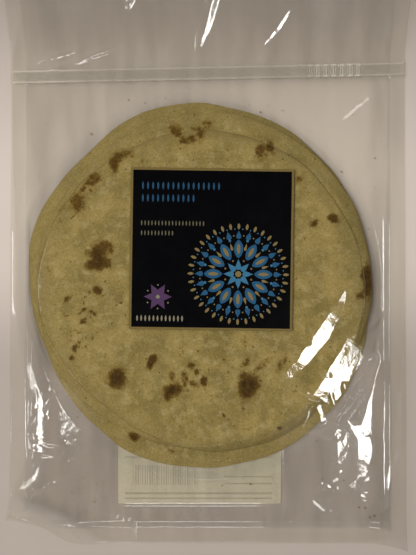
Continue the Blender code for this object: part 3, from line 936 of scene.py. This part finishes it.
def rounded(x, y, half_x, half_y, corner):
    """Pulls the corners of a rectangular grid in to quarter rounds."""
    over_x = np.abs(x) - (half_x - corner)
    over_y = np.abs(y) - (half_y - corner)
    in_corner = (over_x > 0.0) & (over_y > 0.0)
    safe = np.where(in_corner, np.hypot(over_x, over_y), 1.0)
    scale = np.where(in_corner, np.maximum(over_x, over_y) / safe, 1.0)
    round_x = np.copysign(half_x - corner + over_x * scale, x)
    round_y = np.copysign(half_y - corner + over_y * scale, y)
    return np.where(in_corner, round_x, x), np.where(in_corner, round_y, y)


def onto_label(points, lift):
    """Points from the label's own middle, laid on its place on the bag."""
    x = points[:, 0]
    y = points[:, 1]
    z = LABEL_BASE + label_wave(x, y) + lift + points[:, 2]
    turned_x = x * math.cos(LABEL_TURN) - y * math.sin(LABEL_TURN)
    turned_y = x * math.sin(LABEL_TURN) + y * math.cos(LABEL_TURN)
    return np.stack([turned_x + LABEL_X, turned_y + LABEL_Y, z], axis=-1)


def plate(name, width, height, corner, thickness, cells):
    """A thin plate of small faces about the origin, its underside on z = 0."""
    piece = walled_grid(name, cells, cells, thickness, 1.0)
    points = mesh_points(piece)
    x, y = rounded(points[:, 0] * width, points[:, 1] * height, width / 2.0, height / 2.0, corner)
    move_points(piece, np.stack([x, y, points[:, 2]], axis=-1))
    return piece


def printed_black():
    """Coated paper flooded with black ink: a deep satin black with faint rubs and a paper tooth."""
    material, tree, place = new_material("satin_black_print")
    rub = add_node(tree, "TexNoise", {"Vector": place, "Scale": 1000.0 / RUB_MM, "Detail": 5.0})
    tone = add_node(tree, "Mix",
                    {"Factor": rub, "A": colour("#050507"), "B": colour("#0A0A0C")}, data_type="RGBA")
    rough = add_node(tree, "MapRange", {"Value": rub, "To Min": 0.24, "To Max": 0.38})
    tooth = add_node(tree, "TexNoise", {"Vector": place, "Scale": 1000.0 / PAPER_TOOTH_MM, "Detail": 1.0})
    bump = add_node(tree, "Bump", {"Height": tooth, "Strength": 0.05, "Distance": 0.00005})
    shader = add_node(tree, "BsdfPrincipled",
                      {"Base Color": tone, "Roughness": rough, "Specular IOR Level": 0.1, "Normal": bump})
    return finished(material, shader)


def printing_ink(name, hex_value, roughness):
    """One printed colour: slightly uneven where the paper took less ink."""
    material, tree, place = new_material(name)
    uptake = add_node(tree, "TexNoise", {"Vector": place, "Scale": 1000.0 / INK_UPTAKE_MM, "Detail": 3.0})
    thin = tuple(0.72 * share for share in colour(hex_value)[:3]) + (1.0,)
    tone = add_node(tree, "Mix", {"Factor": uptake, "A": colour(hex_value), "B": thin}, data_type="RGBA")
    shader = add_node(tree, "BsdfPrincipled",
                      {"Base Color": tone, "Roughness": roughness, "Specular IOR Level": 0.25})
    return finished(material, shader)


label_card = plate("label_card", LABEL_SIDE, LABEL_HEIGHT, LABEL_CORNER, LABEL_THICKNESS, LABEL_CELLS)
move_points(label_card, onto_label(mesh_points(label_card), 0.0))
settle(label_card, printed_black())
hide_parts("front_label")

bpy.ops.object.select_all(action="DESELECT")
bpy.ops.mesh.primitive_plane_add(size=LABEL_SIDE - 0.0001)
label_border = take_active("label_border")
bpy.ops.object.mode_set(mode="EDIT")
bpy.ops.mesh.select_all(action="SELECT")
bpy.ops.mesh.inset(thickness=BORDER_WIDTH)
bpy.ops.mesh.delete(type="FACE")
bpy.ops.mesh.select_all(action="SELECT")
bpy.ops.mesh.subdivide(number_cuts=24)
bpy.ops.object.mode_set(mode="OBJECT")
give_wall(label_border, INK_HEIGHT, 1.0)
border_points = mesh_points(label_border) * (1.0, LABEL_HEIGHT / LABEL_SIDE, 1.0)
move_points(label_border, onto_label(border_points, LABEL_THICKNESS))
settle(label_border, printing_ink("dull_gold_print", "#7C6A3C", 0.42))

# The print on the label: leaf, drop and dot shapes in seven flat inks. A round ornament of petals
# fills the lower right, a small flower the lower left, and rows of slim leaves run down the left.
ROSETTE_MIDDLE = (16.5, -15.0)
FLOWER_MIDDLE = (-32.5, -29.5)
INKS = {
    "blue": "#295A7D", "pale_blue": "#3E7798", "gold": "#85744A", "teal": "#284F6B",
    "stone": "#68644D", "cream": "#8E8670", "plum": "#553C5D",
}
# Rings of the ornament: ink, shape, how many, radius, length, width, and the share of a step turned.
ROSETTE_RINGS = (
    ("gold", "dot", 1, 0.0, 1.9, 1.9, 0.0), ("pale_blue", "drop", 8, 6.0, 3.4, 1.7, 0.0),
    ("gold", "dot", 8, 8.6, 0.55, 0.55, 0.5), ("blue", "leaf", 12, 15.4, 5.6, 2.9, 0.0),
    ("gold", "leaf", 12, 15.4, 3.3, 1.1, 0.0), ("gold", "drop", 12, 17.2, 2.4, 0.8, 0.5),
    ("pale_blue", "dot", 12, 21.0, 0.8, 0.8, 0.5), ("blue", "drop", 24, 24.2, 2.6, 1.6, 0.0),
    ("gold", "dot", 24, 23.6, 0.45, 0.45, 0.5), ("gold", "leaf", 36, 29.2, 1.9, 0.85, 0.0),
    ("pale_blue", "dot", 36, 27.6, 0.4, 0.4, 0.5),
)
FLOWER_RINGS = (
    ("plum", "drop", 6, 5.0, 3.9, 2.2, 0.0), ("cream", "dot", 1, 0.0, 1.2, 1.2, 0.0),
    ("cream", "dot", 6, 7.2, 0.45, 0.45, 0.5),
)
# Rows of slim leaves: ink, left end, right end, middle height, half height, half width and spacing.
ROWS = (
    ("teal", -42.5, 6.5, 38.5, 2.4, 0.62, 3.1), ("teal", -42.5, -11.5, 30.9, 2.4, 0.62, 3.1),
    ("stone", -43.0, -5.0, 15.6, 1.6, 0.42, 2.1), ("stone", -43.0, -23.0, 9.5, 1.6, 0.42, 2.1),
    ("cream", -45.0, -17.5, -42.7, 1.9, 0.55, 2.5),
)
SHAPE_POINTS = {"dot": 14, "drop": 18, "leaf": 18}


def outline(shape, turn):
    """A point of a shape's outline for a turn round the unit circle: leaf, drop or dot."""
    along = math.cos(turn)
    across = math.sin(turn)
    if shape == "leaf":
        across *= math.sqrt(abs(math.sin(turn)))
    if shape == "drop":
        across *= (1.0 - along) / 1.3
    return along, across


def ink_pattern(shape):
    """One printed shape, modelled once: a thin plate of unit size that the print then copies."""
    bpy.ops.object.select_all(action="DESELECT")
    bpy.ops.mesh.primitive_circle_add(vertices=SHAPE_POINTS[shape], radius=1.0, fill_type="NGON")
    pattern = take_active("pattern_" + shape)
    for point in pattern.data.vertices:
        turn = math.atan2(point.co.y, point.co.x)
        point.co.x, point.co.y = outline(shape, turn)
    bpy.ops.object.mode_set(mode="EDIT")
    bpy.ops.mesh.select_all(action="SELECT")
    bpy.ops.mesh.extrude_region_move(TRANSFORM_OT_translate={"value": (0.0, 0.0, 1.0)})
    bpy.ops.mesh.select_all(action="SELECT")
    bpy.ops.mesh.normals_make_consistent(inside=False)
    bpy.ops.object.mode_set(mode="OBJECT")
    return pattern


def ring_of(middle, rows, prints):
    """Adds the shapes of concentric rings to the list of prints, each pointing outwards."""
    for ink, shape, count, radius, half_length, half_width, turned in rows:
        for step in range(count):
            angle = 2.0 * math.pi * (step + turned) / count
            prints.append((ink, shape, middle[0] + radius * math.cos(angle),
                           middle[1] + radius * math.sin(angle), half_length, half_width, angle))


def copied(pattern, x, y, half_length, half_width, angle, layer):
    """A copy of a pattern, in millimetres on the label."""
    copy = pattern.copy()
    copy.data = pattern.data.copy()
    bpy.context.scene.collection.objects.link(copy)
    points = mesh_points(copy)
    along = points[:, 0] * half_length
    across = points[:, 1] * half_width
    flat_x = (x + along * math.cos(angle) - across * math.sin(angle)) / 1000.0
    flat_y = (y + along * math.sin(angle) + across * math.cos(angle)) / 1000.0
    high = points[:, 2] * INK_HEIGHT + layer * INK_HEIGHT
    move_points(copy, np.stack([flat_x, flat_y, high], axis=-1))
    return copy


def joined(pieces, name):
    """Joins pieces into one and names it."""
    bpy.ops.object.select_all(action="DESELECT")
    for piece in pieces:
        piece.select_set(True)
    bpy.context.view_layer.objects.active = pieces[0]
    bpy.ops.object.join()
    return take_active(name)


prints = []
ring_of(ROSETTE_MIDDLE, ROSETTE_RINGS, prints)
ring_of(FLOWER_MIDDLE, FLOWER_RINGS, prints)
for ink, left, right, middle_y, half_height, half_width, spacing in ROWS:
    for step in range(int((right - left) / spacing) + 1):
        prints.append((ink, "leaf", left + step * spacing, middle_y, half_height, half_width, math.pi / 2.0))
patterns = {shape: ink_pattern(shape) for shape in SHAPE_POINTS}
by_ink = {ink: [] for ink in INKS}
for ink, shape, *place_and_size in prints:
    over_leaf = ink == "gold" and shape == "leaf"
    by_ink[ink].append(copied(patterns[shape], *place_and_size, 1.0 if over_leaf else 0.0))
for pattern in patterns.values():
    bpy.data.objects.remove(pattern)
for ink, copies in by_ink.items():
    printed = joined(copies, "print_" + ink)
    move_points(printed, onto_label(mesh_points(printed), LABEL_THICKNESS))
    settle(printed, printing_ink(ink + "_print", INKS[ink], 0.4))

# The back label: white paper stuck under the lower film, printed in grey on its outer side. From
# above, the print shows faintly through the paper.
PAPER_CORNER = 0.0008
BACK_THICKNESS = 0.00028
FIBRE_MM = 1.4286
GHOST_INK = "#CDC3AE"
# Grey print in millimetres: left, right, bottom, top.
BACK_BARS = (
    (10.8, 40.8, -137.2, -136.2), (-52.9, 40.8, -143.6, -142.2), (-52.9, 40.8, -146.6, -145.6),
    (10.8, 40.8, -132.8, -131.9), (-52.9, 40.8, -120.4, -119.4), (-52.9, 30.0, -114.4, -113.4),
)
STRIPE_BLOCK = (-47.8, -6.0, -137.6, -125.2)
STRIPE_STEP = 1.5


def white_paper():
    """Uncoated white paper: matt, very slightly mottled."""
    material, tree, place = new_material("white_label_paper")
    fibre = add_node(tree, "TexNoise", {"Vector": place, "Scale": 1000.0 / FIBRE_MM, "Detail": 5.0})
    tone = add_node(tree, "Mix",
                    {"Factor": fibre, "A": colour("#DDD3BE"), "B": colour("#CFC4AE")}, data_type="RGBA")
    shader = add_node(tree, "BsdfPrincipled",
                      {"Base Color": tone, "Roughness": 0.75, "Specular IOR Level": 0.2})
    return finished(material, shader)


def bar(left, right, bottom, top):
    """A printed bar that shows on both sides of the paper."""
    bpy.ops.object.select_all(action="DESELECT")
    bpy.ops.mesh.primitive_cube_add(size=1.0)
    made = take_active("bar")
    points = mesh_points(made)
    x = (left + (points[:, 0] + 0.5) * (right - left)) / 1000.0
    y = (bottom + (points[:, 1] + 0.5) * (top - bottom)) / 1000.0
    z = (points[:, 2] + 0.5) * (BACK_THICKNESS + 0.00001)
    move_points(made, np.stack([x, y, z], axis=-1))
    return made


label_paper = plate("label_paper", *BACK_LABEL_SIZE, PAPER_CORNER, BACK_THICKNESS, 24)
move_points(label_paper, mesh_points(label_paper) + (*BACK_LABEL_MIDDLE, 0.0))
settle(label_paper, white_paper())
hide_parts("back_label")
bars = [bar(*sides) for sides in BACK_BARS]
stripe_random = random.Random(3)
stripe_x = STRIPE_BLOCK[0]
while stripe_x < STRIPE_BLOCK[1]:
    stripe_width = stripe_random.choice((0.35, 0.6, 0.85))
    bars.append(bar(stripe_x, stripe_x + stripe_width, *STRIPE_BLOCK[2:]))
    stripe_x += STRIPE_STEP
back_print = joined(bars, "back_print")
settle(back_print, printing_ink("grey_print", GHOST_INK, 0.7))

# Crumbs and flakes of baked dough that have worked loose from the breads. They lie on the lower
# film, each a knobbly speck of its own size.
CRUMB_COUNT = 70
crumb_random = random.Random(23)
bpy.ops.object.select_all(action="DESELECT")
crumbs = []
while len(crumbs) < CRUMB_COUNT:
    crumb_x = crumb_random.uniform(-0.108, 0.108)
    crumb_y = crumb_random.uniform(-0.158, 0.112)
    spot = np.array([crumb_x]), np.array([crumb_y])
    outside = min(float(past_edge(bread, *spot)[0]) for bread in BREADS)
    if outside < 0.002 or float(inside_seals(*spot)[0]) < 0.006:
        continue
    bpy.ops.mesh.primitive_ico_sphere_add(subdivisions=1, radius=1.0)
    crumb = take_active("crumb")
    crumb_size = crumb_random.uniform(0.00018, 0.00050)
    stretch = np.array([crumb_random.uniform(0.6, 1.5), crumb_random.uniform(0.6, 1.5), 0.5])
    knobbly = np.array([[crumb_random.uniform(0.75, 1.2)] for _ in crumb.data.vertices])
    crumb_points = mesh_points(crumb) * knobbly * stretch * crumb_size
    crumb_points += (crumb_x, crumb_y, LABEL_RELIEF + 0.0001 + 0.6 * crumb_size)
    move_points(crumb, crumb_points)
    crumbs.append(crumb)
loose_crumbs = joined(crumbs, "loose_crumbs")
settle(loose_crumbs, printing_ink("toasted_crumb", "#8C6F3E", 0.85))
